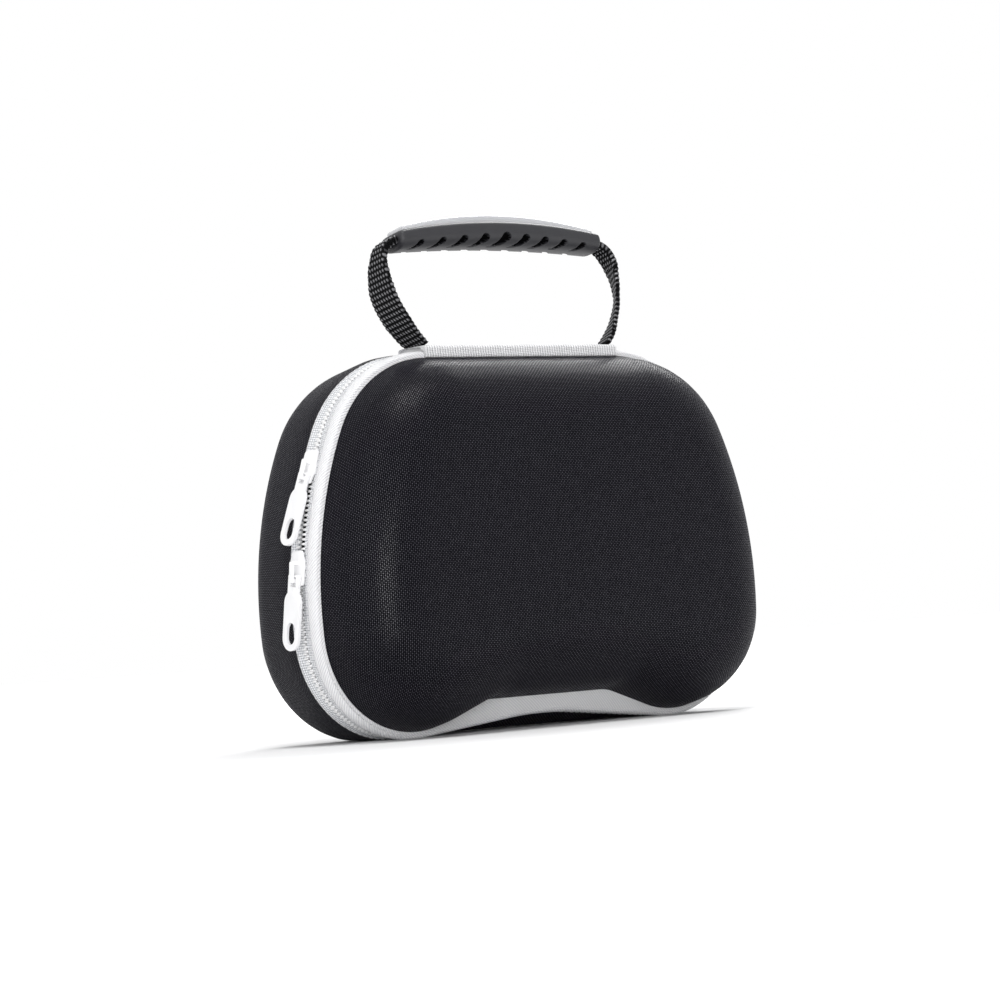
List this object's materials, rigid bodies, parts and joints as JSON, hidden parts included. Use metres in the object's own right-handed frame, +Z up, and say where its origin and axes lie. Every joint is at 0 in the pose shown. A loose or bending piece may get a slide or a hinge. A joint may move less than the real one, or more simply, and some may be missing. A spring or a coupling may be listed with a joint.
{
  "type": "controller carrying case",
  "caption": "Moulded clamshell carrying case shaped for a game controller, cloth covered, with a zip round the rim, a webbing carry handle and a notch between the lobes it stands on.",
  "frame": {"origin": "on the floor under the middle of the case, where its two lobes stand", "axes": "+Z up to the handle, the front half faces -Y, +X to the right seen from the front, zip pulls on -X"},
  "size_m": [0.1876, 0.0738, 0.1734],
  "materials": {
    "shell_cloth": "fine plain weave, matt",
    "binding_weave": "woven, diagonal rib",
    "zip_tape": "flat woven tape",
    "coil_plastic": "moulded, smooth",
    "slider_paint": "gloss paint",
    "pull_paint": "gloss paint",
    "webbing": "coarse woven webbing",
    "grip_plastic": "satin moulded",
    "cap_plastic": "smooth, glossy",
    "mesh": "open knitted net",
    "elastic": "ribbed elastic"
  },
  "bodies": {
    "rear_half": {"rear_shell": "shell_cloth", "rear_zip_tape": "zip_tape", "rear_zip_coil": "coil_plastic", "retaining_strap": "elastic", "hinge_band": "binding_weave"},
    "front_half": {"front_shell": "shell_cloth", "front_binding": "binding_weave", "front_zip_tape": "zip_tape", "front_zip_coil": "coil_plastic", "mesh_pocket": "mesh", "pocket_elastic": "elastic"},
    "handle": {"handle_strap": "webbing", "handle_grip": "grip_plastic", "grip_cap": "cap_plastic"},
    "slider_up": {"upper_slider": "slider_paint"},
    "slider_low": {"lower_slider": "slider_paint"},
    "pull_up": {"upper_pull": "pull_paint"},
    "pull_low": {"lower_pull": "pull_paint"}
  },
  "joints": [
    {"name": "lid_hinge", "type": "hinge", "parent": "rear_half", "child": "front_half", "pos_m": [0, -0.00255, 0.1274], "axis": [-1, 0, 0], "range_deg": [0, 90], "deforming": ["hinge_band"]},
    {"name": "handle_swing", "type": "hinge", "parent": "front_half", "child": "handle", "pos_m": [0, -0.00745, 0.1283], "axis": [1, 0, 0], "range_deg": [-70, 90], "deforming": ["handle_strap"]},
    {"name": "upper_slider_travel", "type": "hinge", "parent": "rear_half", "child": "slider_up", "pos_m": [0.0474, -0.00255, 0.0434], "axis": [0, 1, 0], "range_deg": [0, 2.7]},
    {"name": "lower_slider_travel", "type": "hinge", "parent": "rear_half", "child": "slider_low", "pos_m": [0.0474, -0.00255, 0.0434], "axis": [0, 1, 0], "range_deg": [-7.2, 0]},
    {"name": "upper_pull_swing", "type": "hinge", "parent": "slider_up", "child": "pull_up", "pos_m": [-0.08651, -0.00255, 0.08795], "axis": [0.0394, 0.9903, 0.1335], "range_deg": [0, 110]},
    {"name": "lower_pull_swing", "type": "hinge", "parent": "slider_low", "child": "pull_low", "pos_m": [-0.09324, -0.00255, 0.05503], "axis": [0.0068, 0.9903, 0.139], "range_deg": [0, 110]}
  ]
}
